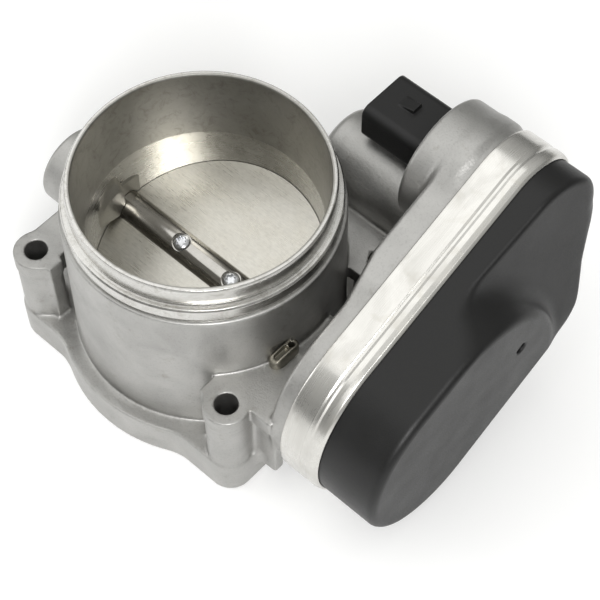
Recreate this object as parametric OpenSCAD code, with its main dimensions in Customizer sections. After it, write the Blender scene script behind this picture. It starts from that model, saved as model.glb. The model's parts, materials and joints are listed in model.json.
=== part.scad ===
// Electronically driven throttle body for a large petrol engine.
// Origin: bore axis at the manifold face. +Z up the bore to the air inlet,
// +X along the throttle shaft to the gear case, +Y towards the motor.

/* [Bore and collar] */
// radius of the air inlet at its rim
inlet_r = 41; // [30:0.5:50]
// radius of the bore that the plate closes
throttle_r = 39.3; // [28:0.1:48]
// height where the bore starts to widen towards the inlet
taper_z = 59.2; // [50:0.2:70]
// radius of the cast wall at its foot
body_r = 46.5; // [42:0.5:56]
// radius of the cast wall just under the hose collar
body_top_r = 46.1; // [42:0.1:56]
// height of the inlet rim
rim_z = 86.8; // [70:0.2:110]
// outer radius of the inlet rim
rim_r = 43.1; // [41.5:0.1:48]
// outer radius of the hose stop lip
lip_r = 45.2; // [43:0.1:50]
// height of the shoulder where the collar is turned
collar_z = 73.2; // [60:0.2:90]

/* [Manifold flange] */
// radius of the round part of the flange
flange_r = 52.1; // [48:0.1:60]
// thickness of the flange
flange_t = 14.4; // [8:0.2:20]
// half distance between fixing holes along the shaft
hole_x = 43.7; // [38:0.1:50]
// half distance between fixing holes across the shaft
hole_y = 36.9; // [30:0.1:45]
// radius of a fixing hole
hole_r = 3.85; // [3:0.05:5]
// radius of a fixing boss
boss_r = 7.8; // [6:0.1:10]
// height of the fixing bosses and webs
boss_z = 43.6; // [30:0.2:60]

/* [Throttle shaft] */
// height of the shaft axis over the manifold face
shaft_z = 36.1; // [30:0.1:45]
// shaft radius inside the bore
shaft_r = 5.4; // [4:0.1:7]
// journal radius in the bushes
journal_r = 4; // [3:0.1:5]
// running clearance of each journal
journal_gap = 0.03; // [0.01:0.01:0.1]
// radius of the line bore that takes bushes and seals
line_bore_r = 5.6; // [5:0.1:7]
// outer radius of the closed shaft boss
shaft_boss_r = 14.5; // [10:0.1:18]
// far end of the closed shaft boss
shaft_boss_x = 66; // [55:0.5:75]

/* [Throttle plate] */
// plate thickness
plate_t = 2; // [1.5:0.1:3]
// air gap around the closed plate
plate_gap = 0.15; // [0.05:0.05:0.4]
// tilt of the closed plate
plate_tilt = 11.5; // [5:0.5:20]
// half distance between the plate screws
plate_screw_x = 11.4; // [8:0.1:20]
// head radius of a plate screw
plate_screw_r = 3; // [2:0.1:4]

/* [Gear case outline] */
// radius of the clamp ring around the shaft end
ring_r = 34.4; // [30:0.1:40]
// radius of the clamp ring at the motor end
ring_small_r = 22.7; // [18:0.1:30]
// motor end of the outline across the shaft
case_y = 65.3; // [55:0.1:80]
// upper centre of the motor end
case_z_high = 72.2; // [60:0.1:85]
// radius of the clamp ring round the lower corner
ring_low_r = 18.1; // [12:0.1:30]
// lower corner of the outline across the shaft
low_y = 58.5; // [50:0.1:70]
// lower corner's centre height
low_z = 44; // [35:0.1:65]
// outer face of the cast case floor
case_x = 57.5; // [55:0.1:62]
// how much deeper the case is beside the motor than at its big end
case_step = 3.5; // [0:0.1:6]
// inner face of the cast case floor
floor_x = 60; // [56:0.1:66]
// back edge of the clamp ring
ring_x = 64; // [60:0.1:70]
// front edge of the clamp ring
ring_end_x = 79.2; // [74:0.1:86]
// split between casting and cover
split_x = 71; // [68:0.1:76]
// clamp ring sheet thickness
ring_t = 0.8; // [0.5:0.1:1.5]
// wall thickness of case and cover
wall = 2.2; // [1.6:0.1:4]

/* [Cover] */
// front face of the raised round
cover_x = 101.4; // [90:0.2:110]
// low edge of the sloping part
cover_low_x = 87.1; // [82:0.2:96]
// the same for the steeper part of the face below it
cover_steep_x = 84.9; // [80:0.1:94]
// radius of the raised round
round_r = 43; // [36:0.5:50]
// centre of the raised round across the shaft
round_y = 14; // [5:0.5:25]
// centre height of the raised round
round_z = 31; // [25:0.5:45]
// radius of the breather hole
vent_r = 2.1; // [1:0.1:4]

/* [Gear train] */
// module of the sector stage
sector_m = 1; // [0.8:0.1:1.5]
// teeth of the full sector circle
sector_z = 58; // [50:1:70]
// teeth of the small idler gear
idler_small_z = 14; // [12:1:20]
// module of the motor stage
motor_m = 0.8; // [0.6:0.1:1]
// teeth of the large idler gear
idler_large_z = 60; // [40:1:70]
// teeth of the motor pinion
pinion_z = 13; // [10:1:16]
// backlash at the pitch circle
backlash = 0.14; // [0.05:0.01:0.3]
// travel of the plate from closed to open
travel = 78; // [60:1:85]

/* [Motor] */
// motor axis across the shaft
motor_y = 61; // [50:0.5:70]
// motor axis height
motor_z = 49; // [40:0.5:60]
// outer radius of the cast motor housing
motor_case_r = 15.4; // [13:0.1:20]
// radius of the motor can
motor_r = 12.3; // [10:0.1:16]
// closed end of the cast motor housing
motor_x = 5; // [0:0.5:15]

/* [Connector] */
// radius of the cast tower round the connector
tower_r = 22; // [18:0.5:26]
// back face of the tower
tower_x = 43.5; // [38:0.5:50]
// mouth of the connector shell
plug_x = 16.5; // [10:0.5:30]
// near side of the shell
plug_y = 57; // [50:0.5:65]
// width of the shell
plug_w = 21.5; // [16:0.5:28]
// underside of the shell
plug_z = 66.8; // [60:0.2:75]
// height of the shell
plug_h = 14.4; // [10:0.2:20]
// shell wall
plug_wall = 1.6; // [1:0.1:3]
// pins in the connector
pin_count = 6; // [4:1:8]

/* [Hidden] */
$fn = 96;
eps = 0.01;

// gear train layout in the plane of the case (across, up)
S = [0, shaft_z];
M = [motor_y, motor_z];
sector_r = sector_m * sector_z / 2;
idler_small_r = sector_m * idler_small_z / 2;
idler_large_r = motor_m * idler_large_z / 2;
pinion_r = motor_m * pinion_z / 2;
d_si = sector_r + idler_small_r;
d_im = idler_large_r + pinion_r;
d_sm = norm(M - S);
u_sm = (M - S) / d_sm;
along_si = (d_si * d_si - d_im * d_im + d_sm * d_sm) / (2 * d_sm);
off_si = sqrt(d_si * d_si - along_si * along_si);
I = S + along_si * u_sm + off_si * [-u_sm[1], u_sm[0]];
ang_si = atan2(I[1] - S[1], I[0] - S[0]);
ang_im = atan2(M[1] - I[1], M[0] - I[0]);

cast_r = ring_r - 1.6;      // casting and cover beside the ring
lipped_r = ring_r - 0.9;    // casting and cover edge inside the ring
inner_r = cast_r - wall;    // hollow of the case
small_d = ring_r - ring_small_r;
low_d = ring_r - ring_low_r;
cover_flange_x = split_x + 1.2;
spring_x = 62.6;
spring_len = 10.8;
spring_turns = 6;
spring_mean = 8.4;
spring_wire = 0.7;
sector_x = 77;
idler_x = 68;
stop_ang = ang_si - travel - 10;
slope_up = 6.7;             // tilts of the cover's sloping part
steep_up = 13.2;
slope_across = 5.3;
ears = [for (a = [60, 180]) M + 15.6 * [cos(a), sin(a)]];
pin_end = 55.5;
function pin_y(i) = plug_y + plug_w / 2 + (i - (pin_count - 1) / 2) * 2.6;

// ---- helpers -------------------------------------------------------------

// places a drawing of (across, up) in the plane x = x0, extruded by h towards +X
module slab(x0, h) translate([x0, 0, 0]) rotate([90, 0, 90]) linear_extrude(height = h) children();

// cylinder along X from x0 to x1 at (y, z)
module rod(x0, x1, c, r, r2 = -1)
  translate([x0, c[0], c[1]]) rotate([0, 90, 0])
    cylinder(h = x1 - x0, r1 = r, r2 = r2 < 0 ? r : r2);

module tube(x0, x1, c, ro, ri) difference() {
  rod(x0, x1, c, ro);
  rod(x0 - 1, x1 + 1, c, ri);
}

// band between two circles, a hair inside their common tangents
module belt(c1, ro1, c2, ro2) {
  r1 = ro1 - eps;
  r2 = ro2 - eps;
  d = c2 - c1;
  th = atan2(d[1], d[0]);
  al = acos((r1 - r2) / norm(d));
  polygon([c1 + r1 * [cos(th + al), sin(th + al)], c1 + r1 * [cos(th - al), sin(th - al)],
           c2 + r2 * [cos(th - al), sin(th - al)], c2 + r2 * [cos(th + al), sin(th + al)]]);
}

// outline of the gear case for a given radius round the shaft end
module outline(r) {
  high = [case_y, case_z_high];
  low = [low_y, low_z];
  translate(S) circle(r);
  translate(high) circle(r - small_d);
  translate(low) circle(r - low_d);
  belt(S, r, high, r - small_d);
  belt(S, r, low, r - low_d);
  belt(low, r - low_d, high, r - small_d);
  polygon([S, high, low]);
}

function inv(a) = tan(a) * 180 / PI - a;
function pol(r, a) = [r * cos(a), r * sin(a)];

// half angle of a tooth at radius p
function half_at(p, rb, ht) = p <= rb ? ht + inv(20) : ht + inv(20) - inv(acos(rb / p));

function tooth(z, m, add, ded, a) =
  let (r = m * z / 2, rb = r * cos(20), ra = r + add, rf = r - ded,
       ht = 90 / z - backlash / (2 * r) * 180 / PI / 2,
       s = max(rb, rf), n = 4,
       ps = [for (i = [0:n]) s + (ra - s) * i / n])
  concat([pol(rf, a - min(half_at(rf, rb, ht), 88 / z))],
         [for (p = ps) if (p > rf + eps) pol(p, a - half_at(p, rb, ht))],
         [for (i = [n:-1:0]) if (ps[i] > rf + eps) pol(ps[i], a + half_at(ps[i], rb, ht))],
         [pol(rf, a + min(half_at(rf, rb, ht), 88 / z))]);

// teeth from index i0 to i1, the first one centred on angle a0
module teeth(z, m, add, ded, a0, i0, i1)
  polygon([for (i = [i0:i1]) each tooth(z, m, add, ded, a0 + i * 360 / z)]);

// ---- casting -------------------------------------------------------------

module barrel() rotate_extrude() polygon([
  [throttle_r - 4, 0], [flange_r - 0.8, 0], [flange_r, 0.8], [flange_r, flange_t - 1],
  [flange_r - 1, flange_t], [body_r + 1, flange_t], [body_r, flange_t + 1.6],
  [body_top_r, collar_z - 0.6], [body_top_r - 0.6, collar_z], [lip_r - 0.5, collar_z],
  [lip_r - 0.5, collar_z + 0.8], [lip_r, collar_z + 1.3], [lip_r, collar_z + 5.3],
  [lip_r - 0.6, collar_z + 5.9], [rim_r - 0.6, collar_z + 5.9], [rim_r - 0.6, collar_z + 7],
  [rim_r, collar_z + 7.5], [rim_r, rim_z - 1.6], [rim_r - 0.6, rim_z - 0.2],
  [rim_r - 0.9, rim_z], [throttle_r - 4, rim_z]]);

module air_path() rotate_extrude() polygon([
  [0, -1], [throttle_r + 0.8, -1], [throttle_r + 0.8, 0], [throttle_r, 0.8],
  [throttle_r, taper_z], [inlet_r, rim_z - 0.6], [inlet_r + 0.3, rim_z],
  [inlet_r + 0.3, rim_z + 1], [0, rim_z + 1]]);

// flat foot that carries the four fixing bosses
module foot() linear_extrude(height = flange_t) union() {
  for (x = [-hole_x, hole_x], y = [-hole_y, hole_y]) translate([x, y]) circle(boss_r);
  square([2 * hole_x, 2 * (hole_y + boss_r)], center = true);
  square([2 * (hole_x + boss_r), 2 * hole_y], center = true);
}

module fixing_bosses() for (x = [-hole_x, hole_x], y = [-hole_y, hole_y])
  translate([x, y, 0]) {
    cylinder(h = boss_z - 0.5, r = boss_r);
    translate([0, 0, boss_z - 0.5]) cylinder(h = 0.5, r1 = boss_r, r2 = boss_r - 0.5);
  }

module box(lo, hi) translate(lo) cube(hi - lo);

module webs() {
  // left side wall under the closed shaft boss
  box([-hole_x - boss_r + 1.4, -hole_y, boss_z - 9], [-38, hole_y, boss_z]);
  for (y = [-hole_y, hole_y])
    box([-hole_x - 2, y - 3, flange_t - 1], [-36, y + 3, boss_z]);
  // shelf and front rib between barrel and gear case
  box([36, -33.8, boss_z - 6], [case_x + 1, 10, boss_z]);
  box([36, -33.8, 9], [case_x + 1, -29, boss_z]);
  box([36, -hole_y - 2, 4], [hole_x, -30, boss_z]);
  // shelf between barrel, rear boss and motor housing
  box([18, 27.5, boss_z - 6], [case_x + 1, motor_y - 12, boss_z]);
  box([36, hole_y - 3, flange_t - 1], [hole_x, hole_y + 3, boss_z]);
}

module shaft_bosses() {
  rod(-shaft_boss_x + 1, -30, S, shaft_boss_r);
  rod(-shaft_boss_x, -shaft_boss_x + 1, S, shaft_boss_r - 1, shaft_boss_r);
  intersection() {
    rod(40, case_x + 1, S, 11);
    box([30, -20, 10], [70, 20, boss_z]);
  }
}

module motor_shell() {
  rod(motor_x + 3, floor_x + 2.5, M, motor_case_r);
  rod(motor_x + 1, motor_x + 3, M, motor_case_r - 1.3, motor_case_r);
  rod(motor_x, motor_x + 1, M, motor_case_r - 3.2, motor_case_r - 1.3);
}

module tower() {
  rod(tower_x + 2, case_x + 1, [case_y, case_z_high], tower_r);
  rod(tower_x + 0.6, tower_x + 2, [case_y, case_z_high], tower_r - 0.7, tower_r);
  rod(tower_x, tower_x + 0.6, [case_y, case_z_high], tower_r - 2, tower_r - 0.7);
}

module case_cast() {
  slab(case_x, 0.8) outline(cast_r - 0.8);
  // deeper back towards the motor, with a ramp down to the big end
  intersection() {
    slab(case_x - case_step, case_step + 1) outline(cast_r - 0.8);
    linear_extrude(height = 120) polygon([[case_x, 3], [case_x - case_step, 20],
      [case_x - case_step, 100], [case_x + 2, 100], [case_x + 2, 3]]);
  }
  slab(case_x + 0.8, ring_x + ring_t - case_x - 0.8) outline(cast_r);
  slab(ring_x + ring_t, split_x - ring_x - ring_t) outline(lipped_r);
}

module case_hollow() {
  slab(floor_x, split_x - floor_x + 1) outline(inner_r);
  // hollow of the tower behind the connector, clear of the motor housing
  difference() {
    rod(tower_x + 3.5, floor_x + 1, [case_y, case_z_high], tower_r - 2.6);
    rod(tower_x, floor_x + 2, M, motor_case_r);
    box([tower_x, 30, 30], [floor_x + 2, 100, 62]);
  }
}

// small cast lug with a drilled eye on the barrel over the shelf
module drill_lug() difference() {
  union() {
    for (y = [-18, -7]) translate([45.6, y, boss_z - 2]) cylinder(h = 6, r = 2.6);
    box([43, -18, boss_z - 2], [48.2, -7, boss_z + 4]);
  }
  for (y = [-17, -13]) translate([46.2, y, boss_z + 1.5]) cylinder(h = 5, r = 1);
  box([45.2, -17, boss_z + 1.5], [47.2, -13, boss_z + 6]);
  translate([45.8, -7.8, boss_z]) cylinder(h = 6, r = 0.8);
}

// flat pads that seal the shaft ends, with a faired nose upstream of each
module shaft_pads() for (s = [0, 1]) mirror([s, 0, 0]) {
  rod(-throttle_r - 1.2, -throttle_r + 0.55, S, 13, 9.5);
  intersection() {
    rod(-throttle_r - 1.6, -throttle_r + 2.6, S + [-4.6, 8.4], 14, 9.6);
    box([-50, -30, shaft_z + 0.4], [-20, -1.4, 70]);
  }
}

module housing() color([0.72, 0.72, 0.70]) difference() {
  union() {
    difference() {
      union() {
        barrel();
        foot();
        fixing_bosses();
        webs();
        shaft_bosses();
        motor_shell();
        tower();
        case_cast();
        drill_lug();
      }
      air_path();
      case_hollow();
    }
    intersection() {
      shaft_pads();
      cylinder(h = rim_z, r = body_r - 2);
    }
    rod(floor_x - 1, floor_x + 2.5, S, 9.2);
    rod(floor_x - 3, floor_x + 2, I, 6);
    // stop post for the closed plate
    rod(floor_x - 1, sector_x + 5, S + 22 * [cos(stop_ang - 5.8), sin(stop_ang - 5.8)], 2);
  }
  for (x = [-hole_x, hole_x], y = [-hole_y, hole_y])
    translate([x, y, -1]) cylinder(h = boss_z + 2, r = hole_r);
  rod(-60, floor_x + 5, S, line_bore_r);
  rod(-shaft_boss_x - 1, -60, S, 7);
  rod(floor_x - 2.5, floor_x + 5, I, 3);
  rod(motor_x + 3, floor_x + 1.8, M, motor_r + 0.1);
  box([tower_x - 1, plug_y - 0.1, plug_z - 0.1],
      [tower_x + 4, plug_y + plug_w + 0.1, plug_z + plug_h + 0.1]);
  for (e = ears) rod(floor_x - 3, floor_x + 1, e, 1.2);
}

// ---- throttle shaft group -------------------------------------------------

// turns a drawing of the plate and its screws to the closed tilt
module closed() translate([0, 0, shaft_z]) rotate([plate_tilt, 0, 0]) children();

module throttle_shaft() color([0.78, 0.78, 0.77]) difference() {
  union() {
    rod(-41.4, 41.4, S, shaft_r);
    rod(-59, -41.4, S, journal_r);
    rod(-59.6, -59, S, journal_r - 0.6, journal_r);
    rod(41.4, 78.5, S, journal_r);
    rod(78.5, 86, S, 3);
    rod(86, 86.6, S, 3, 2.4);
  }
  closed() {
    cube([2 * throttle_r - 1.3, 20, plate_t], center = true);
    for (s = [-1, 1]) translate([s * plate_screw_x, 0, 0]) {
      translate([0, 0, 4.2]) cylinder(h = 3, r = plate_screw_r + 0.4);
      translate([0, 0, -4.2]) cylinder(h = 9, r = 1.6);
    }
  }
  // flats that key the sector gear
  for (s = [-1, 1]) box([70, s > 0 ? 3 : -5, shaft_z - 5], [79, s > 0 ? 5 : -3, shaft_z + 5]);
}

module throttle_plate() color([0.82, 0.81, 0.78]) difference() {
  intersection() {
    closed() cube([2 * throttle_r - 1.4, 90, plate_t], center = true);
    cylinder(h = rim_z, r = throttle_r - plate_gap);
  }
  closed() for (s = [-1, 1]) translate([s * plate_screw_x, 0, -2]) cylinder(h = 4, r = 1.6);
  // coined ring mark on the upper face
  closed() translate([-27, 9, plate_t / 2 - 0.12]) difference() {
    cylinder(h = 1, r = 2.1);
    translate([0, 0, -1]) cylinder(h = 3, r = 1.6);
  }
}

module plate_screws() color([0.75, 0.76, 0.78]) closed()
  for (s = [-1, 1]) translate([s * plate_screw_x, 0, 0]) difference() {
    union() {
      translate([0, 0, -4]) cylinder(h = 8.2, r = 1.6);
      translate([0, 0, 4.2]) cylinder(h = 1.3, r = plate_screw_r);
      translate([0, 0, 5.5]) cylinder(h = 0.7, r1 = plate_screw_r, r2 = plate_screw_r - 0.9);
    }
    translate([0, 0, 4.9]) for (a = [0, 60, 120]) rotate([0, 0, a])
      cube([2.7, 0.9, 3], center = true);
  }

module shaft_bushes() color([0.62, 0.48, 0.26]) {
  tube(-58, -46.5, S, line_bore_r, journal_r + journal_gap);
  tube(46.5, 58, S, line_bore_r, journal_r + journal_gap);
}

module shaft_seals() color([0.10, 0.10, 0.10]) {
  tube(-45.6, -42.4, S, line_bore_r, journal_r + 0.05);
  tube(42.4, 45.6, S, line_bore_r, journal_r + 0.05);
}

module bearing_plug() color([0.66, 0.66, 0.66]) difference() {
  rod(-shaft_boss_x + 0.6, -61.5, S, 7);
  rod(-64, -61, S, 6.2);
}

module sector_gear() color([0.16, 0.16, 0.17]) difference() {
  union() {
    rod(floor_x + 2.7, sector_x + 7, S, 6.4);
    rod(70, sector_x, S, 7.4);
    rod(sector_x, sector_x + 5, S, 12);
    rod(sector_x + 5, sector_x + 7, S, 10.4);
    slab(sector_x, 5) translate(S) {
      intersection() {
        circle(sector_r - 1.15);
        polygon(concat([[0, 0]],
          [for (a = [stop_ang:(travel + 20) / 8:ang_si + 10.1]) 60 * [cos(a), sin(a)]]));
      }
      intersection() {
        teeth(sector_z, sector_m, 0.8, 1.15, ang_si, 0, sector_z - 1);
        polygon(concat([[0, 0]],
          [for (a = [stop_ang:(travel + 20) / 8:ang_si + 10.1]) 60 * [cos(a), sin(a)]]));
      }
    }
  }
  // lightening windows
  for (a = [ang_si - 8, ang_si - 38, ang_si - 68])
    rod(sector_x - 1, sector_x + 6, S + 18.6 * [cos(a), sin(a)], 3.6);
  intersection() {
    rod(floor_x, sector_x + 8, S, journal_r);
    union() {
      box([floor_x, -3, 20], [sector_x + 8, 3, 60]);
      box([floor_x, -6, 20], [70, 6, 60]);
    }
  }
}

module sector_nut() color([0.74, 0.75, 0.76]) difference() {
  rod(sector_x + 7, sector_x + 10.4, S, 5.6);
  rod(sector_x + 6, sector_x + 12, S, 3);
  for (a = [0:60:300]) translate([0, 0, shaft_z]) rotate([a, 0, 0])
    box([sector_x + 6, -6, 4.9], [sector_x + 12, 6, 8]);
}

// coil that closes the plate when the motor is off
module return_spring() color([0.45, 0.46, 0.48]) translate([spring_x + spring_wire, 0, shaft_z]) {
  n = spring_turns * 24;
  k = 8;
  points = [for (i = [0:n], j = [0:k - 1])
    let (a = i * 15, q = spring_mean + spring_wire * cos(j * 360 / k))
    [spring_len * i / n + spring_wire * sin(j * 360 / k), q * cos(a), q * sin(a)]];
  faces = concat([[for (j = [0:k - 1]) j]], [[for (j = [k - 1:-1:0]) n * k + j]],
    [for (i = [0:n - 1], j = [0:k - 1]) let (m = (j + 1) % k)
      each [[i * k + j, (i + 1) * k + j, i * k + m], [i * k + m, (i + 1) * k + j, (i + 1) * k + m]]]);
  polyhedron(points, faces);
}

module sensor_magnet() color([0.28, 0.28, 0.30])
  tube(sector_x + 7, sector_x + 12.5, S, 10, 7.6);

// ---- idler and motor ------------------------------------------------------

module idler_gear() color([0.85, 0.83, 0.76]) difference() {
  union() {
    slab(idler_x, 5) translate(I) teeth(idler_large_z, motor_m, 0.64, 0.95, ang_im, 0, idler_large_z - 1);
    slab(sector_x - 2, 8) translate(I)
      teeth(idler_small_z, sector_m, 0.8, 1.15, ang_si + 180 + 180 / idler_small_z, 0, idler_small_z - 1);
    rod(floor_x + 2.4, sector_x + 7, I, 5.4);
  }
  rod(floor_x, sector_x + 9, I, 3.04);
  for (a = [0:60:300]) rod(idler_x - 1, idler_x + 6, I + 14.5 * [cos(a), sin(a)], 4.2);
}

module idler_pin() color([0.78, 0.78, 0.78]) {
  rod(floor_x - 2.5, sector_x + 9, I, 3);
  rod(sector_x + 9, sector_x + 9.6, I, 3, 2.4);
}

module motor_can() color([0.60, 0.62, 0.62]) difference() {
  union() {
    rod(motor_x + 4, floor_x - 0.4, M, motor_r);
    rod(motor_x + 3.1, motor_x + 4, M, 4.5);
  }
  rod(motor_x + 5, floor_x, M, motor_r - 1);
  rod(motor_x + 3, motor_x + 6, M, 1.62);
}

module motor_magnets() color([0.25, 0.24, 0.24]) difference() {
  tube(motor_x + 9, motor_x + 39, M, motor_r - 1, motor_r - 3.4);
  for (s = [-1, 1]) translate([0, motor_y, motor_z]) rotate([s * 90, 0, 0])
    box([motor_x, -4, 0], [motor_x + 50, 4, 20]);
}

module motor_armature() color([0.70, 0.42, 0.20]) {
  rod(motor_x + 3.4, floor_x + 15, M, 1.6);
  difference() {
    rod(motor_x + 12, motor_x + 36, M, motor_r - 3.8);
    for (a = [0:72:288]) translate([0, motor_y, motor_z]) rotate([a, 0, 0])
      box([motor_x, -0.7, 5.4], [motor_x + 50, 0.7, 12]);
  }
  rod(motor_x + 38, motor_x + 46, M, 4.2);
}

module motor_brushes() color([0.30, 0.27, 0.25]) for (s = [-1, 1])
  translate([0, motor_y, motor_z]) rotate([s * 90, 0, 0])
    box([motor_x + 40, -1.6, 4.25], [motor_x + 44, 1.6, 9.2]);

module motor_endplate() color([0.20, 0.20, 0.21]) difference() {
  union() {
    rod(floor_x - 3.4, floor_x - 0.4, M, motor_r - 1);
    slab(floor_x, 1.6) {
      translate(M) circle(motor_r - 1);
      for (e = ears) translate(e) circle(3.2);
      for (a = [60, 180]) translate(M) rotate(a) translate([0, -3.2]) square([15.6, 6.4]);
    }
    rod(floor_x - 0.41, floor_x, M, motor_r - 1);
    rod(floor_x + 1.6, floor_x + 4, M, 4.4);
    // arms that carry the brushes
    for (s = [-1, 1]) translate([0, motor_y, motor_z]) rotate([s * 90, 0, 0])
      box([motor_x + 39.5, -1.8, 9.2], [floor_x - 3, 1.8, 10.5]);
  }
  rod(floor_x - 5, floor_x + 5, M, 1.65);
  for (e = ears) rod(floor_x - 1, floor_x + 3, e, 1.3);
}

module motor_screws() color([0.70, 0.71, 0.72])
  for (e = ears) difference() {
    union() {
      rod(floor_x - 3, floor_x + 1.6, e, 1.2);
      rod(floor_x + 1.6, floor_x + 3.4, e, 2.6);
    }
    translate([0, e[0], e[1]])
      for (a = [0, 60, 120]) rotate([a, 0, 0]) box([floor_x + 2.4, -0.4, -1.3], [floor_x + 4, 0.4, 1.3]);
  }

module motor_pinion() color([0.72, 0.60, 0.32]) difference() {
  slab(floor_x + 6, 9) translate(M)
    teeth(pinion_z, motor_m, 0.75, 0.95, ang_im + 180 + 180 / pinion_z, 0, pinion_z - 1);
  rod(floor_x, floor_x + 20, M, 1.6);
}

// spring washer that loads the can against the end of its housing
module motor_washer() color([0.55, 0.56, 0.58]) tube(motor_x + 3, motor_x + 3.9, M, 10.5, 7);

module motor_leads() color([0.80, 0.55, 0.25]) for (s = [0, 1]) {
  y = M[0] - 4 + s * 8;
  z = plug_z + plug_h / 2 + 0.4;
  box([floor_x + 1.6, y - 0.4, M[1] + 7], [floor_x + 6, y + 0.4, M[1] + 9]);
  box([floor_x + 5.2, y - 0.4, M[1] + 7], [floor_x + 6, y + 0.4, z]);
  box([pin_end, y - 0.4, z - 2], [floor_x + 6, y + 0.4, z]);
  // foot on the end of its connector pin
  box([pin_end, min(y, pin_y(s * 2)) - 0.4, z - 0.8], [pin_end + 0.8, max(y, pin_y(s * 2)) + 0.4, z]);
}

// ---- connector ------------------------------------------------------------

module rounded(w, h, r) {
  for (x = [r, w - r], y = [r, h - r]) translate([x, y]) circle(r);
  translate([r, 0]) square([w - 2 * r, h]);
  translate([0, r]) square([w, h - 2 * r]);
}

module connector_shell() color([0.07, 0.07, 0.08]) difference() {
  union() {
    slab(plug_x, tower_x + 5 - plug_x) translate([plug_y, plug_z]) rounded(plug_w, plug_h, 3.4);
    slab(tower_x + 3.5, 3) translate([plug_y - 1.5, plug_z - 1.2]) rounded(plug_w + 3, plug_h + 3, 3);
    // latch ramp on the top face
    translate([0, plug_y + plug_w / 2 + 3.2, plug_z + plug_h]) rotate([90, 0, 0])
      linear_extrude(height = 4.4) polygon([[24, -0.5], [30.5, -0.5], [30.5, 1.5], [29.6, 1.5]]);
  }
  slab(plug_x - 1, 20) translate([plug_y + plug_wall, plug_z + plug_wall])
    rounded(plug_w - 2 * plug_wall, plug_h - 2 * plug_wall, 2.2);
  for (i = [0:pin_count - 1]) translate([0, pin_y(i), plug_z + plug_h / 2])
    box([plug_x + 10, -0.4, -0.4], [pin_end, 0.4, 0.4]);
}

module connector_pins() color([0.82, 0.70, 0.40]) for (i = [0:pin_count - 1])
  translate([0, pin_y(i), plug_z + plug_h / 2]) {
    box([plug_x + 7.5, -0.4, -0.4], [pin_end, 0.4, 0.4]);
    translate([plug_x + 7.5, 0, 0]) rotate([0, -90, 0]) cylinder(h = 0.6, r1 = 0.4, r2 = 0.15);
  }

module connector_seal() color([0.45, 0.16, 0.10]) difference() {
  slab(tower_x - 1.2, 1.2) translate([plug_y - 1.4, plug_z - 1.4]) rounded(plug_w + 2.8, plug_h + 2.8, 4.6);
  slab(tower_x - 2, 3) translate([plug_y, plug_z]) rounded(plug_w, plug_h, 3.4);
}

// ---- cover and clamp ------------------------------------------------------

module clamp_ring() color([0.80, 0.80, 0.79]) difference() {
  slab(ring_x, ring_end_x - ring_x) outline(ring_r);
  slab(ring_x + ring_t, ring_end_x - ring_x - 2 * ring_t) outline(lipped_r);
  slab(ring_x - 1, ring_end_x - ring_x + 2) outline(cast_r);
}

// space over a plane through x0 that leans back by up degrees
module over_plane(x0, up) translate([x0, 38.7, 88]) rotate([0, -up, -slope_across])
  translate([0, -150, -150]) cube([60, 300, 300]);

// space over the sloping part, which bends between two planes, spread by g
module over_slope(g) intersection() {
  over_plane(cover_low_x + g, slope_up);
  over_plane(cover_steep_x + g, steep_up);
}

module cover_form(r, top, g) difference() {
  union() {
    slab(cover_flange_x - 1, top - cover_flange_x - 2) outline(r);
    slab(top - 3.01, 1.6) outline(r - 0.9);
    slab(top - 1.42, 1.42) outline(r - 2.6);
  }
  difference() {
    over_slope(g);
    rod(cover_low_x - 12, top + 1, [round_y, round_z], round_r + 9 + g, round_r - 1 + g);
    box([cover_low_x - 12, -60, -60], [top + 1, 4, 140]);
  }
}

module cover() color([0.05, 0.05, 0.06]) difference() {
  union() {
    cover_form(cast_r, cover_x, 0);
    slab(cover_flange_x, ring_end_x - ring_t - cover_flange_x) outline(lipped_r);
  }
  box([cover_flange_x - 5, -60, -20], [cover_flange_x, 120, 130]);
  cover_form(inner_r, cover_x - wall, -wall);
  rod(cover_x - 4, cover_x + 1, [38.4, 48.8], vent_r);
}

module cover_gasket() color([0.12, 0.12, 0.12]) difference() {
  slab(split_x, cover_flange_x - split_x) outline(lipped_r - 0.2);
  slab(split_x - 1, 4) outline(inner_r + 0.4);
}

module sensor_board() color([0.12, 0.30, 0.18]) {
  difference() {
    slab(cover_x - wall - 4, 1.6) {
      translate(S) circle(15);
      translate([2, shaft_z - 8]) square([22, 16]);
    }
    rod(cover_x - 10, cover_x, S + [18, 0], 1.5);
  }
  box([cover_x - wall - 5.2, -4, shaft_z - 4], [cover_x - wall - 4, 4, shaft_z + 4]);
  for (a = [60, 180, 300]) rod(cover_x - wall - 2.4, cover_x - wall, S + 11 * [cos(a), sin(a)], 2);
}

module vent_plug() color([0.14, 0.14, 0.15]) rod(cover_x - 2, cover_x - 1, [38.4, 48.8], vent_r);

housing();
throttle_shaft();
throttle_plate();
plate_screws();
shaft_bushes();
shaft_seals();
bearing_plug();
sector_gear();
sector_nut();
return_spring();
sensor_magnet();
idler_gear();
idler_pin();
motor_can();
motor_magnets();
motor_armature();
motor_endplate();
motor_brushes();
motor_screws();
motor_pinion();
motor_washer();
motor_leads();
connector_shell();
connector_pins();
connector_seal();
clamp_ring();
cover();
cover_gasket();
sensor_board();
vent_plug();
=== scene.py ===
import json
import math

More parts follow.
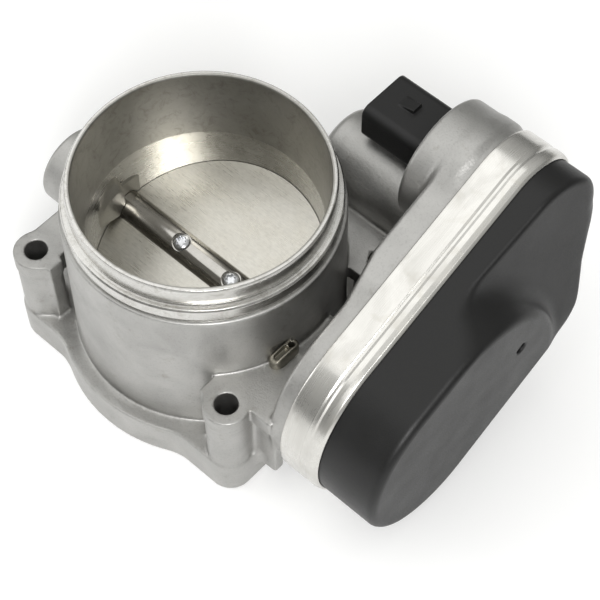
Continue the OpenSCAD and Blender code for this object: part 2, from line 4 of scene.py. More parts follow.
import bpy
import numpy as np
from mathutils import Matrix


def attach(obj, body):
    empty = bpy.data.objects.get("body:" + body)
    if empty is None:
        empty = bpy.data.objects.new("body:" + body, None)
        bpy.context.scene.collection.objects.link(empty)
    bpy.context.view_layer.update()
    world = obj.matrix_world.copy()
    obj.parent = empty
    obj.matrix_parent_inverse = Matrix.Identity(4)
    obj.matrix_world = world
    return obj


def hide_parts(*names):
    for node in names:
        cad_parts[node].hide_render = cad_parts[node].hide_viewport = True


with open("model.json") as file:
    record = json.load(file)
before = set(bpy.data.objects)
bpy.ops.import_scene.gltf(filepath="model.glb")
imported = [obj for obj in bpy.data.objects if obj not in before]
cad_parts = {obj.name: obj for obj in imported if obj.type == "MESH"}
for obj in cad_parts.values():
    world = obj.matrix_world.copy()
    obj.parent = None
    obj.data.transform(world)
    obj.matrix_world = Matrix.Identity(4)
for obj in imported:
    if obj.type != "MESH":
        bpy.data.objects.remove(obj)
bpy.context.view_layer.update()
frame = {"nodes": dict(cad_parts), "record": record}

import openvdb
from mathutils import Matrix, Vector

NODES = frame["nodes"]

# Sizes in millimetres.
BODY_R, BODY_TOP_R, COLLAR_Z, RIM_Z, TAPER_Z = 46.5, 46.1, 73.2, 86.8, 59.2
THROTTLE_R, INLET_R, RIM_R, LIP_R = 39.3, 41.0, 43.1, 45.2
FLANGE_R, FLANGE_T, BOSS_Z, BOSS_R = 52.1, 14.4, 43.6, 7.8
HOLE_X, HOLE_Y, HOLE_R = 43.7, 36.9, 3.85
S, M, I = (0.0, 36.1), (61.0, 49.0), (32.018, 52.558)
HIGH, LOW = (65.3, 72.2), (58.5, 44.0)
SMALL_D, LOW_D = 11.7, 16.3
CAST_R, LIPPED_R, INNER_R = 32.8, 33.5, 30.6
CASE_X, CASE_STEP, FLOOR_X, RING_X, RING_END_X, SPLIT_X = 57.5, 3.5, 60.0, 64.0, 79.2, 71.0
COVER_X, COVER_LOW_X, COVER_STEEP_X, PLATE_TILT = 101.4, 87.1, 84.9, 11.5
# the cover's face: lean of the two planes, lean across them, and the raised round with the slope of its side
LOW_UP, STEEP_UP, FACE_ACROSS = 6.7, 13.2, 5.3
ROUND_AT, ROUND_R, ROUND_SIDE, COVER_WALL, COVER_SOFT = (14, 31), 43.3, 0.36, 2.2, 8.0
VENT_AT, VENT_R = (38.4, 48.8), 2.1
# cast bosses and the bores in them
SHAFT_BOSS_R, CASE_BOSS_R, TOWER_R, TOWER_BORE_R, MOTOR_CASE_R = 14.5, 11, 22.0, 19.4, 15.4
BUSH_R, PLUG_R, PIN_R, MOTOR_BORE_R, POST_R = 5.6, 7.0, 3.0, 12.4, 2.0
PAD_R, PAD_X, HOOD_AT, HOOD_R, HOOD_X = 9.6, 38.75, (-4.4, 43.4), 6.6, 36.9
PLATE_SCREW_X, HEAD_R = 11.4, 3.0
PIN_Y, PIN_PITCH, PIN_COUNT = 67.75, 2.6, 6


# ---- distance fields: each piece is drawn as a signed distance on a grid, then meshed ----------

def smin(a, b, k):
    h = np.maximum(k - np.abs(a - b), 0) / k
    return np.minimum(a, b) - h * h * k * 0.25


def smax(a, b, k):
    return -smin(-a, -b, k)


def span(v, lo, hi):
    return np.abs(v - (lo + hi) / 2) - (hi - lo) / 2


def ext(flat, along, r):
    """Solid whose outline is flat and whose length is along, with its edges rounded by r."""
    u, v = flat + r, along + r
    return np.minimum(np.maximum(u, v), 0) + np.sqrt(np.maximum(u, 0) ** 2 + np.maximum(v, 0) ** 2) - r


def circle(a, b, c, r):
    return np.sqrt((a - c[0]) ** 2 + (b - c[1]) ** 2) - r


def rect(a, b, lo, hi, r=0.0):
    return ext(span(a, lo[0], hi[0]), span(b, lo[1], hi[1]), r)


def cone2(a, b, pa, pb, ra, rb):
    """Outline round two circles and the two lines that touch both."""
    px, py = a - pa[0], b - pa[1]
    bx, by = pb[0] - pa[0], pb[1] - pa[1]
    h = bx * bx + by * by
    qx, qy = np.abs(px * by - py * bx) / h, (px * bx + py * by) / h
    d = ra - rb
    cx, cy = math.sqrt(h - d * d), d
    k, m, n = cx * qy - cy * qx, cx * qx + cy * qy, qx * qx + qy * qy
    return np.where(k < 0, np.sqrt(h * n) - ra,
                    np.where(k > cx, np.sqrt(h * (n + 1 - 2 * qy)) - rb, m - ra))


def outline(y, z, r):
    """Outline of the gear case, for a given radius round the shaft end."""
    rs, rl = r - SMALL_D, r - LOW_D
    d = np.minimum(cone2(y, z, S, HIGH, r, rs), cone2(y, z, S, LOW, r, rl))
    return np.minimum(d, cone2(y, z, HIGH, LOW, rs, rl))


class Field:
    """A signed distance on a grid, in millimetres. lo and hi of a step are only the box worked in."""

    def __init__(self, lo, hi, pitch):
        self.pitch, self.lo = pitch, np.array(lo, np.float64)
        self.axes = [np.arange(a, b + pitch, pitch, dtype=np.float32) for a, b in zip(lo, hi)]
        self.d = np.full([len(a) for a in self.axes], 9.0, np.float32)

    def part(self, lo, hi, margin=5.0):
        cut = []
        for a, l, h in zip(self.axes, lo, hi):
            i, j = np.searchsorted(a, l - margin), np.searchsorted(a, h + margin)
            cut.append(slice(i, max(j, i + 1)))
        x, y, z = (a[c] for a, c in zip(self.axes, cut))
        return tuple(cut), x[:, None, None], y[None, :, None], z[None, None, :]

    def join(self, lo, hi, make, k=0.4):
        cut, x, y, z = self.part(lo, hi)
        self.d[cut] = smin(self.d[cut], make(x, y, z).astype(np.float32), k)

    def carve(self, lo, hi, make, k=0.4):
        cut, x, y, z = self.part(lo, hi)
        self.d[cut] = smax(self.d[cut], -make(x, y, z).astype(np.float32), k)

    def mesh(self, name, adaptivity=0.0, turn=None):
        band = 3 * self.pitch
        grid = openvdb.FloatGrid(band)
        grid.copyFromArray(np.clip(self.d, -band, band))
        points, tris, quads = grid.convertToPolygons(isovalue=0.0, adaptivity=adaptivity)
        points = points * self.pitch + self.lo
        if turn is not None:
            points = points @ np.array(turn.to_3x3()).T + np.array(turn.translation)
        return build(name, points / 1000, tris, quads)


def build(name, points, tris, quads, smooth=True):
    """A mesh object from arrays, with its faces turned outwards."""
    points = np.asarray(points, np.float64)
    tris, quads = np.asarray(tris, np.int64).reshape(-1, 3), np.asarray(quads, np.int64).reshape(-1, 4)
    fans = np.concatenate([tris, quads[:, [0, 1, 2]], quads[:, [0, 2, 3]]])
    a, b, c = (points[fans[:, i]] for i in range(3))
    if np.einsum("ij,ij->i", a, np.cross(b, c)).sum() < 0:
        tris, quads = tris[:, ::-1], quads[:, ::-1]
    mesh = bpy.data.meshes.new(name)
    mesh.vertices.add(len(points))
    mesh.vertices.foreach_set("co", points.astype(np.float32).ravel())
    loops = np.concatenate([tris.ravel(), quads.ravel()]).astype(np.int32)
    mesh.loops.add(len(loops))
    mesh.loops.foreach_set("vertex_index", loops)
    sizes = np.concatenate([np.full(len(tris), 3), np.full(len(quads), 4)])
    mesh.polygons.add(len(sizes))
    mesh.polygons.foreach_set("loop_start", (np.cumsum(sizes) - sizes).astype(np.int32))
    mesh.polygons.foreach_set("loop_total", sizes.astype(np.int32))
    mesh.update(calc_edges=True)
    mesh.validate()
    mesh.polygons.foreach_set("use_smooth", np.full(len(mesh.polygons), smooth))
    made = bpy.data.objects.new(name, mesh)
    bpy.context.scene.collection.objects.link(made)
    return made


def rounded_path(points, n):
    """A closed path in two dimensions from (a, b, corner radius), with its corners rounded."""
    out = []
    count = len(points)
    for i in range(count):
        p, r = np.array(points[i][:2], float), points[i][2]
        u = np.array(points[i - 1][:2], float) - p
        v = np.array(points[(i + 1) % count][:2], float) - p
        lu, lv = np.linalg.norm(u), np.linalg.norm(v)
        u, v = u / lu, v / lv
        half = math.acos(max(-1, min(1, float(u @ v)))) / 2
        if r <= 0 or half > math.pi / 2 - 0.02:
            out.append(p)
            continue
        t = min(r / math.tan(half), lu * 0.49, lv * 0.49)
        for j in range(n + 1):
            s = j / n
            out.append((1 - s) ** 2 * (p + t * u) + 2 * s * (1 - s) * p + s * s * (p + t * v))
    return np.array(out)


def swept(name, rings):
    """A closed band from rings[i][j]: i goes round the sweep, j round the section."""
    n, k = rings.shape[:2]
    i, j = np.meshgrid(np.arange(n), np.arange(k), indexing="ij")
    ni, nj = (i + 1) % n, (j + 1) % k
    quads = np.stack([i * k + j, ni * k + j, ni * k + nj, i * k + nj], -1).reshape(-1, 4)
    return build(name, rings.reshape(-1, 3) / 1000, np.zeros((0, 3), int), quads)


def lathe(name, section, steps):
    """A closed ring about the bore axis from a closed section of (radius, height)."""
    a = np.arange(steps) * 2 * math.pi / steps
    r, z = section[:, 0], section[:, 1]
    heights = np.broadcast_to(z, (steps, len(z)))
    rings = np.stack([np.cos(a)[:, None] * r, np.sin(a)[:, None] * r, heights], -1)
    return swept(name, rings)


def place(piece, node, body, material):
    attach(piece, body)
    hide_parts(node)
    piece.data.materials.clear()
    piece.data.materials.append(material)
    return piece


# ---- the casting -------------------------------------------------------------------------------

def bore_radius(z):
    return THROTTLE_R + (INLET_R - THROTTLE_R) * np.clip((z - TAPER_Z) / (RIM_Z - 0.6 - TAPER_Z), 0, 1)


def casting():
    f = Field((-68.5, -54.5, -1.5), (73.0, 90.5, 96.5), 0.45)

    def barrel(x, y, z):
        r = BODY_R - (BODY_R - BODY_TOP_R) * np.clip((z - FLANGE_T) / (COLLAR_Z - FLANGE_T), 0, 1)
        return ext(np.sqrt(x * x + y * y) - r, span(z, 0, COLLAR_Z), 0.7)

    def foot(x, y, z):
        flat = np.minimum(rect(x, y, (-HOLE_X, -HOLE_Y - BOSS_R), (HOLE_X, HOLE_Y + BOSS_R)),
                          rect(x, y, (-HOLE_X - BOSS_R, -HOLE_Y), (HOLE_X + BOSS_R, HOLE_Y)))
        flat = np.minimum(flat, circle(np.abs(x), np.abs(y), (HOLE_X, HOLE_Y), BOSS_R))
        flat = smin(flat, np.sqrt(x * x + y * y) - FLANGE_R, 2.4)
        return ext(flat, span(z, 0, FLANGE_T), 0.45)

    def bosses(x, y, z):
        # bosses and the webs that run from them to the wall, drawn in plan
        flat = circle(np.abs(x), np.abs(y), (HOLE_X, HOLE_Y), BOSS_R - 0.05)
        flat = smin(flat, rect(-x, np.abs(y), (34, HOLE_Y - 3), (HOLE_X + 2, HOLE_Y + 3)), 3.0)
        flat = smin(flat, rect(x, y, (34, HOLE_Y - 3), (HOLE_X, HOLE_Y + 3)), 3.0)
        flat = smin(flat, rect(x, -y, (34, 30), (HOLE_X, HOLE_Y + 2)), 3.0)
        # the top band stands a little proud of the wall under it
        flat = flat + 0.45 * np.clip((BOSS_Z - 6.2 - z) / 0.6, 0, 1)
        return ext(flat, span(z, 3, BOSS_Z), 0.4)

    def shelves(x, y, z):
        left = rect(x, y, (-HOLE_X - BOSS_R + 1.4, -HOLE_Y), (-36, HOLE_Y))
        right = rect(x, y, (34, -33.8), (CASE_X + 2, 10), 0.5)
        back = rect(x, y, (16, 27.5), (CASE_X + 2, M[0] - 11), 0.5)
        d = ext(np.minimum(right, back), span(z, BOSS_Z - 6, BOSS_Z), 0.4)
        return np.minimum(d, ext(left, span(z, BOSS_Z - 9, BOSS_Z), 0.5))

    f.join((-47, -47, 0), (47, 47, COLLAR_Z), barrel)
    f.join((-54, -54, 0), (54, 54, FLANGE_T), foot, 0.9)
    f.join((-52, -46, 2), (52, 46, BOSS_Z), bosses, 1.2)
    f.join((-51, -38, 30), (61, 51, BOSS_Z), shelves, 0.9)

    def front_wall(x, y, z):
        """From the boss to the gear case, set back under the shelf."""
        return ext(rect(x, z, (36, 9), (CASE_X + 2, BOSS_Z - 7), 2.0), span(y, -31.6, -28), 0.6)

    def case_boss(x, y, z):
        return np.maximum(ext(circle(y, z, S, CASE_BOSS_R), span(x, 38, CASE_X + 2), 0.5), z - BOSS_Z)

    f.join((34, -35, 8), (60, -28, BOSS_Z), front_wall, 4.0)
    # one flat top for bosses and shelves
    f.carve((-54, -54, 40), (60, 54, 50),
            lambda x, y, z: np.maximum(BOSS_Z - z, BODY_R - np.sqrt(x * x + y * y)), 0.3)
    # closed shaft boss and the boss towards the gear case
    f.join((-66, -15, 20), (-36, 15, 52),
           lambda x, y, z: ext(circle(y, z, S, SHAFT_BOSS_R), span(x, -66, -30), 1.2), 1.8)
    f.join((40, -12, 22), (60, 12, BOSS_Z), case_boss, 2.0)

    # gear case, deeper towards the motor, with its connector tower and motor housing
    def case(x, y, z):
        rear = CASE_X - CASE_STEP * np.clip((y - 3) / 17, 0, 1)
        return ext(outline(y, z, CAST_R), np.maximum(rear - x, x - 66) + 0 * z, 1.7)

    f.join((52, -35, 1), (67, 91, 97), case, 1.4)
    f.join((64, -35, 1), (72, 91, 97),
           lambda x, y, z: ext(outline(y, z, LIPPED_R), span(x, RING_X + 0.8, SPLIT_X), 0.3), 0.3)
    f.join((43, 43, 49), (60, 88, 95),
           lambda x, y, z: ext(circle(y, z, HIGH, TOWER_R), span(x, 43.5, CASE_X + 3), 1.5), 3.2)
    f.join((5, 45, 33), (64, 77, 65),
           lambda x, y, z: ext(circle(y, z, M, MOTOR_CASE_R), span(x, 5, 62.5), 3.2), 1.4)

    # hollows
    def air(x, y, z):
        return np.sqrt(x * x + y * y) - bore_radius(z) - 0.7

    f.carve((-42, -42, -3), (42, 42, 90), air, 0.2)
    f.carve((FLOOR_X, -34, 2), (75, 90, 96),
            lambda x, y, z: ext(outline(y, z, INNER_R), span(x, FLOOR_X, 80), 1.0), 0.3)

    def tower_hollow(x, y, z):
        d = ext(circle(y, z, HIGH, TOWER_BORE_R), span(x, 47, FLOOR_X + 2), 0.5)
        d = np.maximum(d, -circle(y, z, M, MOTOR_CASE_R))
        return np.maximum(d, 62 - z)

    f.carve((47, 45, 60), (62, 86, 93), tower_hollow, 0.3)
    f.join((59, -10, 26), (63, 10, 46),
           lambda x, y, z: ext(circle(y, z, S, 9.2), span(x, 58, 62.5), 0.4), 0.4)
    f.join((56, 25, 46), (63, 40, 60),
           lambda x, y, z: ext(circle(y, z, I, 6.0), span(x, 57, 62), 0.4), 0.4)
    # stop post for the closed plate
    a = math.radians(27.2 - 88 - 5.8)
    post = (S[0] + 22 * math.cos(a), S[1] + 22 * math.sin(a))
    f.join((58, post[0] - 3, post[1] - 3), (83, post[0] + 3, post[1] + 3),
           lambda x, y, z: ext(circle(y, z, post, POST_R), span(x, 59, 82), 0.4), 0.4)

    # bores
    for sx in (-1, 1):
        for sy in (-1, 1):
            c = (sx * HOLE_X, sy * HOLE_Y)
            f.carve((c[0] - 5, c[1] - 5, -3), (c[0] + 5, c[1] + 5, 46),
                    lambda x, y, z, c=c: circle(x, y, c, HOLE_R) + 0 * z, 0.4)
    def drill(lo, hi, centre, radius, x0, x1):
        f.carve(lo, hi, lambda x, y, z: ext(circle(y, z, centre, radius), span(x, x0, x1), 0.1), 0.1)

    drill((-60, -7, 28), (65, 7, 44), S, BUSH_R, -60, 70)
    drill((-69, -8, 28), (-60, 8, 44), S, PLUG_R, -70, -60)
    drill((57, 28, 49), (64, 36, 56), I, PIN_R, 57.5, 70)
    drill((8, 48, 36), (62, 74, 62), M, MOTOR_BORE_R, 8, 61.8)
    f.carve((42, 56, 66), (48, 79, 82),
            lambda x, y, z: ext(rect(y, z, (56.9, 66.7), (78.6, 81.3), 3.4), span(x, 42, 48), 0.1), 0.2)

    def lug_seat(x, y, z):
        """Seat for the drilled lug, which is drawn on a finer grid of its own."""
        return ext(rect(x, y, (43.4, -16.6), (47.6, -8.0), 2.0), span(z, BOSS_Z - 0.8, 60), 0.2)

    f.carve((42, -18, 42), (48, -7, 46), lug_seat, 0.2)
    f.d = np.maximum(f.d, (-f.axes[2])[None, None, :])
    return f.mesh("housing_cast", adaptivity=0.003)


def lug():
    """Drilled lug over the shelf: a teardrop with an eye at its high end and a slot along it."""
    f = Field((40.0, -20.0, 40.5), (50.5, -4.5, 51.0), 0.14)

    def body(x, y, z):
        flat = cone2(x, y, (45.3, -15.4), (45.9, -8.6), 2.5, 2.2)
        return ext(flat, np.maximum(41.5 - z, z - (BOSS_Z + 3.9 + 0.10 * (y + 12))), 1.1)

    def rolled_rim(x, y, z):
        across = np.abs(x - 45.7 - 0.06 * (y + 12)) - 1.35
        rise = z - BOSS_Z - 3.9 - 0.10 * (y + 12)
        return np.sqrt(across ** 2 + rise ** 2 + 0.02 * (y + 12) ** 2) - 0.55

    def slot(x, y, z):
        return ext(cone2(x, y, (45.4, -15.2), (45.6, -11.2), 0.9, 1.0), span(z, BOSS_Z + 2.4, 60), 0.2)

    f.join((40, -20, 40), (51, -4, 51), body)
    f.join((43, -16, 45), (49, -7, 51), rolled_rim, 0.5)
    f.carve((43, -17, 44), (49, -10, 51), slot, 0.3)
    f.carve((43, -12, 43), (49, -5, 51),
            lambda x, y, z: circle(x, y, (46.0, -8.9), 1.05) + np.maximum(BOSS_Z + 0.4 - z, 0), 0.3)
    return f.mesh("housing_lug")


def noses():
    """Faired pads in the bore over the two shaft ends."""
    made = []
    for side, name in ((-1, "left"), (1, "right")):
        f = Field((36.4, -24, 18), (42.6, 16, 66), 0.27)

        def pad(x, y, z):
            wall = bore_radius(z) + 0.3 - np.sqrt(x * x + y * y)
            flat = smin(ext(circle(y, z, S, PAD_R), PAD_X - x, 0.3), wall + 0 * z, 5.0)
            # a rounded hood over the shaft end, clear of the plate when it stands open at y 0
            hood = smin(ext(circle(y, z, HOOD_AT, HOOD_R), HOOD_X - x, 2.6), wall + 0 * z, 7.5)
            hood = smax(smax(hood, y + 1.7, 2.2), 36.9 - z, 0.8)
            return np.minimum(np.maximum(flat, PAD_X - x), hood)

        f.join((36, -24, 18), (43, 16, 66), pad)
        out = np.sqrt(f.axes[0][:, None] ** 2 + f.axes[1][None, :] ** 2)[:, :, None]
        f.d = np.maximum(f.d, (out - THROTTLE_R - 1.3 + 0 * f.axes[2]).astype(np.float32))
        f.carve((36, -7, 28), (43, 7, 44), lambda x, y, z: circle(y, z, S, 5.55) + 0 * x, 0.1)
        made.append(f.mesh("housing_nose_" + name, turn=Matrix.Diagonal((side, 1, 1, 1))))
    return made


# ---- the turned collar and bore ----------------------------------------------------------------

def collar():
    z = COLLAR_Z
    section = [
        (THROTTLE_R + 1.0, 0.3, 0), (THROTTLE_R + 1.0, 0, 0), (THROTTLE_R + 0.8, 0, 0.1),
        (THROTTLE_R, 0.8, 0.1),
        (THROTTLE_R, TAPER_Z, 0.3), (INLET_R, RIM_Z - 0.6, 0.25), (INLET_R + 0.3, RIM_Z, 0.2),
        (RIM_R - 0.45, RIM_Z, 0.3), (RIM_R, RIM_Z - 0.9, 0.6),
        (RIM_R, z + 7.6, 0.3), (RIM_R - 0.5, z + 7.0, 0.15), (RIM_R - 0.5, z + 6.2, 0.15),
        (RIM_R + 0.5, z + 6.0, 0.15), (LIP_R - 0.5, z + 5.9, 0.3),
        (LIP_R, z + 5.2, 0.4), (LIP_R, z + 1.4, 0.4),
        (LIP_R - 0.5, z + 0.8, 0.15), (LIP_R - 0.5, z - 0.8, 0),
        (INLET_R + 1.0, z - 0.8, 0), (THROTTLE_R + 1.0, TAPER_Z, 0),
    ]
    return lathe("housing_bore", rounded_path(section, 5), 360)


# ---- clamp ring: a formed sheet that follows the case outline ----------------------------------

def outline_points(r, n):
    """n points of the case outline and their outward normals, evenly spaced."""
    rs, rl = r - SMALL_D, r - LOW_D

    def touch(c1, r1, c2, r2, side):
        d = np.array(c2) - np.array(c1)
        th, al = math.atan2(d[1], d[0]), math.acos((r1 - r2) / np.linalg.norm(d))
        return th + side * al

    low, high, corner = touch(S, r, LOW, rl, -1), touch(S, r, HIGH, rs, 1), touch(LOW, rl, HIGH, rs, -1)
    path, normal = [], []

    def arc(c, radius, a0, a1):
        for a in np.linspace(a0, a1, max(8, int(abs(a1 - a0) * radius / 0.25))):
            path.append((c[0] + radius * math.cos(a), c[1] + radius * math.sin(a)))
            normal.append((math.cos(a), math.sin(a)))

    arc(S, r, high, low + 2 * math.pi)
    arc(LOW, rl, low, corner)
    arc(HIGH, rs, corner, high)
    path, normal = np.array(path), np.array(normal)
    closed = np.vstack([path, path[:1]])
    run = np.concatenate([[0], np.cumsum(np.linalg.norm(np.diff(closed, axis=0), axis=1))])
    at = np.arange(n) / n * run[-1]
    both = np.hstack([closed, np.vstack([normal, normal[:1]])])
    out = np.stack([np.interp(at, run, both[:, i]) for i in range(4)], -1)
    out[:, 2:] /= np.linalg.norm(out[:, 2:], axis=1)[:, None]
    return out


def clamp_ring():
    e = RING_END_X
    # (distance out from the casting's outline, place along X, corner radius)
    section = [
        (0.15, RING_X, 0.1), (1.5, RING_X, 0.5), (1.6, RING_X + 0.9, 0.4), (1.6, 72.6, 0.5),
        (1.25, 73.3, 0.4), (1.3, 74.1, 0.4), (1.6, 75.0, 0.7), (1.58, 76.6, 1.0),
        (1.2, e - 0.9, 1.0), (0.45, e, 0.5), (0.12, e, 0.1), (0.12, e - 0.7, 0.2), (0.55, e - 1.0, 0.4),
        (0.8, 76.8, 0.8), (0.75, 74.5, 0.4), (0.72, RING_X + 1.2, 0.3), (0.15, RING_X + 0.8, 0.1),
    ]
    section = rounded_path(section, 4)
    base = outline_points(CAST_R, 640)
    rings = np.empty((len(base), len(section), 3))
    rings[..., 0] = section[:, 1]
    rings[..., 1] = base[:, 0, None] + base[:, 2, None] * section[:, 0]
    rings[..., 2] = base[:, 1, None] + base[:, 3, None] * section[:, 0]
    return swept("clamp_ring_formed", rings)


# ---- cover -------------------------------------------------------------------------------------

def cover():
    f = Field((70.5, -35.5, 1), (102.6, 90, 97), 0.45)

    def over_plane(x, y, z, x0, up):
        """Distance over a plane through x0 that leans back by up degrees."""
        lean = Matrix.Rotation(math.radians(-up), 3, "Y") @ Vector((1, 0, 0))
        n = Matrix.Rotation(math.radians(-FACE_ACROSS), 3, "Z") @ lean
        return (x - x0) * n.x + (y - 38.7) * n.y + (z - 88) * n.z

    def form(x, y, z, r, top, g, edge):
        """The cover to outline r and height top, with its cut faces moved out by g."""
        body = ext(outline(y, z, r), span(x, 60, top), edge)
        slope = smin(over_plane(x, y, z, COVER_LOW_X + g, LOW_UP),
                     over_plane(x, y, z, COVER_STEEP_X + g, STEEP_UP), 3.0)
        lift = (circle(y, z, ROUND_AT, ROUND_R + g) - (COVER_X - x) * ROUND_SIDE) * 0.94
        cut = smin(smin(slope, lift, 5.0), y - 4, 3.0)
        # the edge is crisp along the top and broad at the motor end
        motor_end = np.clip((y - 60) / 22, 0, 1)
        k = 2.0 + COVER_SOFT * motor_end * np.clip((88 - z) / 14, 0, 1) * np.clip((z - 30) / 22, 0.25, 1)
        return smax(body, cut, k)

    f.join((71, -34, 2), (102, 89, 96), lambda x, y, z: form(x, y, z, CAST_R, COVER_X, 0, 2.8))
    f.join((71, -34, 2), (80, 89, 96),
           lambda x, y, z: ext(outline(y, z, LIPPED_R), span(x, 70, RING_END_X - 0.9), 0.3), 0.3)
    f.carve((71, -34, 2), (102, 89, 96),
            lambda x, y, z: form(x, y, z, INNER_R, COVER_X - COVER_WALL, -COVER_WALL, 2.0), 0.3)
    f.carve((95, 34, 45), (103, 43, 53), lambda x, y, z: circle(y, z, VENT_AT, VENT_R) + 0 * x, 0.5)
    f.d = np.maximum(f.d, (72.2 - f.axes[0])[:, None, None])
    return f.mesh("cover_moulded")


# ---- plate screws ------------------------------------------------------------------------------

def screws():
    """Button heads with a six-lobe recess, on the tilted plate."""
    made = []
    tilt = Matrix.Rotation(math.radians(PLATE_TILT), 4, "X")
    for x0, name, twist in ((-PLATE_SCREW_X, "a", 20), (PLATE_SCREW_X, "b", 47)):
        f = Field((-3.3, -3.3, -4.3), (3.3, 3.3, 6.6), 0.07)

        def head(x, y, z):
            dome = np.sqrt(x * x + y * y + (z - 1.45) ** 2) - 4.78
            return smax(ext(np.sqrt(x * x + y * y) - HEAD_R, span(z, 4.2, 6.3), 0.35), dome, 0.4)

        def lobes(x, y, z):
            a = np.arctan2(y, x)
            r = np.sqrt(x * x + y * y)
            return np.maximum(r - (1.55 + 0.30 * np.cos(6 * a)), 4.9 - z) * 0.8

        def shank(x, y, z):
            return ext(np.sqrt(x * x + y * y) - 1.6, span(z, -4, 4.4), 0.2)

        f.join((-4, -4, 4), (4, 4, 7), head)
        f.join((-2, -2, -4), (2, 2, 5), shank, 0.1)
        f.carve((-3, -3, 4), (3, 3, 7), lobes, 0.12)
        turn = Matrix.Translation((x0, 0, S[1])) @ tilt @ Matrix.Rotation(math.radians(twist), 4, "Z")
        made.append(f.mesh("plate_screw_" + name, turn=turn))
    return made


# ---- connector ---------------------------------------------------------------------------------

def connector():
    f = Field((15.5, 54, 64), (51, 82, 85), 0.25)

    def latch_ramp(x, y, z):
        side = np.maximum(span(x, 24, 30.4), span(y, 66.55, 70.95))
        return ext(np.maximum((z - 81.2) - (x - 24) * 0.27, 80 - z), side, 0.15)

    f.join((16, 55, 65), (51, 81, 84),
           lambda x, y, z: ext(rect(y, z, (57, 66.8), (78.5, 81.2), 3.4), span(x, 16.5, 48.5), 0.5), 0.2)
    f.join((46, 55, 65), (51, 81, 84),
           lambda x, y, z: ext(rect(y, z, (55.5, 65.6), (80, 82.4), 3.0), span(x, 47, 50), 0.3), 0.3)
    f.join((23, 65, 80), (32, 71, 84), latch_ramp, 0.3)
    f.carve((15, 58, 68), (37, 77, 80),
            lambda x, y, z: ext(rect(y, z, (58.6, 68.4), (76.9, 79.6), 2.2), span(x, 10, 35.5), 0.3), 0.2)
    for i in range(PIN_COUNT):
        c = PIN_Y + (i - (PIN_COUNT - 1) / 2) * PIN_PITCH
        f.carve((26, c - 1, 73), (52, c + 1, 75),
                lambda x, y, z, c=c: rect(y, z, (c - 0.42, 73.58), (c + 0.42, 74.42)) + 0 * x, 0.05)
    return f.mesh("connector_shell_moulded")


# ---- materials ---------------------------------------------------------------------------------

class Paint:
    """Short names for the nodes of one material."""

    def __init__(self, name):
        self.m = bpy.data.materials.new(name)
        self.m.use_nodes = True
        self.t = self.m.node_tree
        self.b = self.t.nodes["Principled BSDF"]
        self.at = self.t.nodes.new("ShaderNodeTexCoord").outputs["Object"]

    def node(self, kind, **values):
        n = self.t.nodes.new("ShaderNode" + kind)
        for k, v in values.items():
            setattr(n, k, v)
        return n

    def link(self, a, b):
        self.t.links.new(a, b)

    def set(self, **values):
        for k, v in values.items():
            self.b.inputs[k.replace("_", " ")].default_value = v

    def stretch(self, scale):
        n = self.node("Mapping")
        self.link(self.at, n.inputs["Vector"])
        n.inputs["Scale"].default_value = scale
        return n.outputs["Vector"]

    def noise(self, scale, detail=2.0, rough=0.5, vector=None, warp=0.0):
        n = self.node("TexNoise")
        self.link(vector or self.at, n.inputs["Vector"])
        n.inputs["Scale"].default_value = scale
        n.inputs["Detail"].default_value = detail
        n.inputs["Roughness"].default_value = rough
        n.inputs["Distortion"].default_value = warp
        return n.outputs["Fac"]

    def ramp(self, fac, stops):
        n = self.node("ValToRGB")
        self.link(fac, n.inputs["Fac"])
        e = n.color_ramp.elements
        while len(e) < len(stops):
            e.new(0.5)
        for el, (p, c) in zip(e, stops):
            el.position = p
            el.color = (*c, 1) if isinstance(c, tuple) else (c, c, c, 1)
        return n.outputs["Color"]

    def spread(self, fac, lo, hi, a=0.3, b=0.7):
        n = self.node("MapRange")
        self.link(fac, n.inputs["Value"])
        for k, v in (("From Min", a), ("From Max", b), ("To Min", lo), ("To Max", hi)):
            n.inputs[k].default_value = v
        return n.outputs["Result"]

    def math(self, op, a, b):
        n = self.node("Math", operation=op)
        for i, v in enumerate((a, b)):
            if isinstance(v, (int, float)):
                n.inputs[i].default_value = v
            else:
                self.link(v, n.inputs[i])
        return n.outputs[0]

    def mix(self, fac, a, b, kind="MULTIPLY"):
        n = self.node("Mix", data_type="RGBA", blend_type=kind)
        for i, v in ((0, fac), (6, a), (7, b)):
            if isinstance(v, (int, float)):
                n.inputs[i].default_value = v
            elif isinstance(v, tuple):
                n.inputs[i].default_value = (*v, 1)
            else:
                self.link(v, n.inputs[i])
        return n.outputs[2]

    def bump(self, height, strength, distance, under=None):
        n = self.node("Bump")
        n.inputs["Strength"].default_value = strength
        n.inputs["Distance"].default_value = distance
        self.link(height, n.inputs["Height"])
        if under:
            self.link(under, n.inputs["Normal"])
        return n.outputs["Normal"]

    def to(self, socket, value):
        self.link(value, self.b.inputs[socket])


def cast_metal(name="cast_aluminium", top=(0.47, 0.465, 0.45), grainy=1.0):
    p = Paint(name)
    p.set(Metallic=1.0)
    blotch = p.noise(55, 4, 0.6, warp=0.6)
    grain = p.noise(1500, 3, 0.7)
    low, mid = (tuple(c * k for c in top) for k in (0.78, 0.90))
    colour = p.ramp(blotch, [(0.3, low), (0.5, mid), (0.72, top)])
    stain = p.ramp(p.noise(140, 6, 0.75), [(0.30, (0.70, 0.68, 0.63)), (0.42, (1.0, 1.0, 1.0))])
    colour = p.mix(0.6, colour, stain)
    speck = p.ramp(grain, [(0.28, 0.74), (0.5, 1.0)])
    p.to("Base Color", p.mix(0.7, colour, speck))
    p.to("Roughness", p.math("ADD", p.spread(p.noise(90, 3), 0.40, 0.50), p.spread(grain, -0.05, 0.06)))
    coarse = p.bump(p.noise(420, 3, 0.6), 0.30 * grainy, 0.00016)
    p.to("Normal", p.bump(grain, 0.80 * grainy, 0.00011, coarse))
    return p.m


